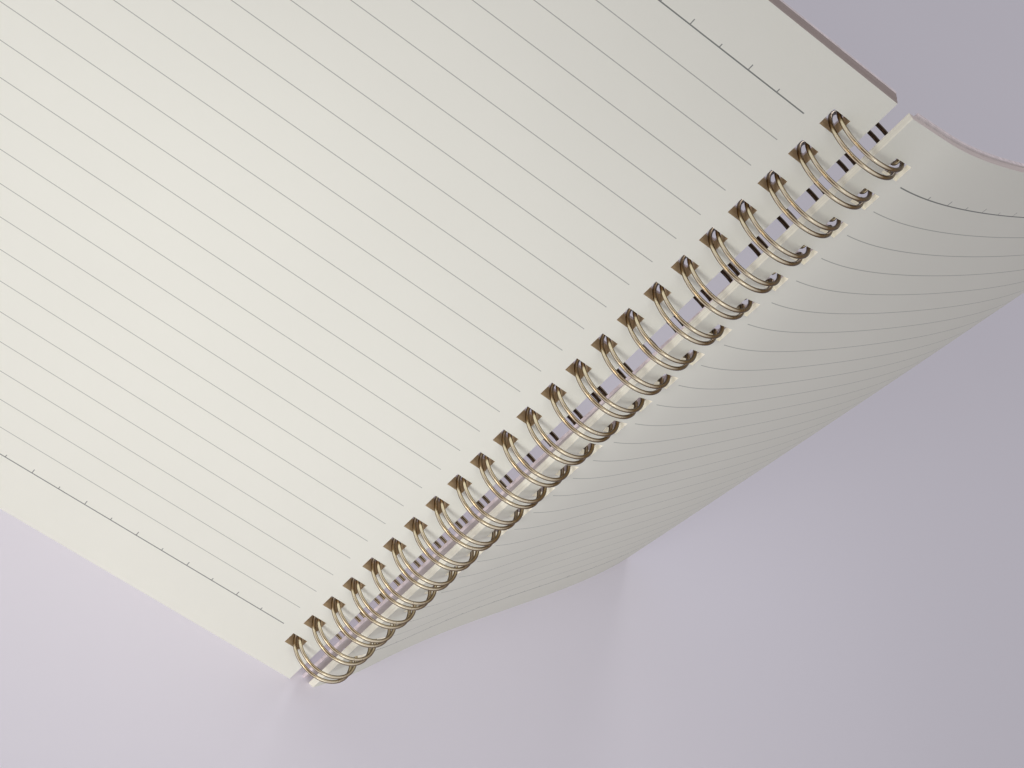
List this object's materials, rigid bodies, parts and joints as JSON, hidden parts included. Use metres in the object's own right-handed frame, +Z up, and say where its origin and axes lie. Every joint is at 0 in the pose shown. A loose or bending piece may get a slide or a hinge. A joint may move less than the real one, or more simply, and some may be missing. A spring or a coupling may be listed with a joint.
{
  "type": "spiral notebook",
  "caption": "Open twin-loop wire-bound ruled notebook standing on its tail edges, with grey board covers behind cream sheets",
  "frame": {"origin": "on the axis of the wire rings, level with the tail edges of the sheets", "axes": "+Z up along the spine from tail to head, -Y toward the reader, -X along the leaves turned to the left"},
  "size_m": [0.2574, 0.1241, 0.2085],
  "materials": {
    "wire": "satin",
    "sheets": "matte",
    "board": "matte"
  },
  "bodies": {
    "binding": {"wire_binding": "wire"},
    "left_block": {"left_pages": "sheets"},
    "front_board": {"front_cover": "board"},
    "right_block": {"right_pages": "sheets"},
    "back_board": {"back_cover": "board"}
  },
  "joints": [
    {"name": "close_left", "type": "hinge", "parent": "binding", "child": "left_block", "pos_m": [0, 0, 0], "axis": [0, 0, 1], "range_deg": [0, 32]},
    {"name": "fold_front", "type": "hinge", "parent": "left_block", "child": "front_board", "pos_m": [0, 0, 0], "axis": [0, 0, -1], "range_deg": [0, 40]},
    {"name": "close_right", "type": "hinge", "parent": "binding", "child": "right_block", "pos_m": [0, 0, 0], "axis": [0, 0, -1], "range_deg": [0, 16]},
    {"name": "fold_back", "type": "hinge", "parent": "binding", "child": "back_board", "pos_m": [0, 0, 0], "axis": [0, 0, 1], "range_deg": [0, 35]}
  ]
}
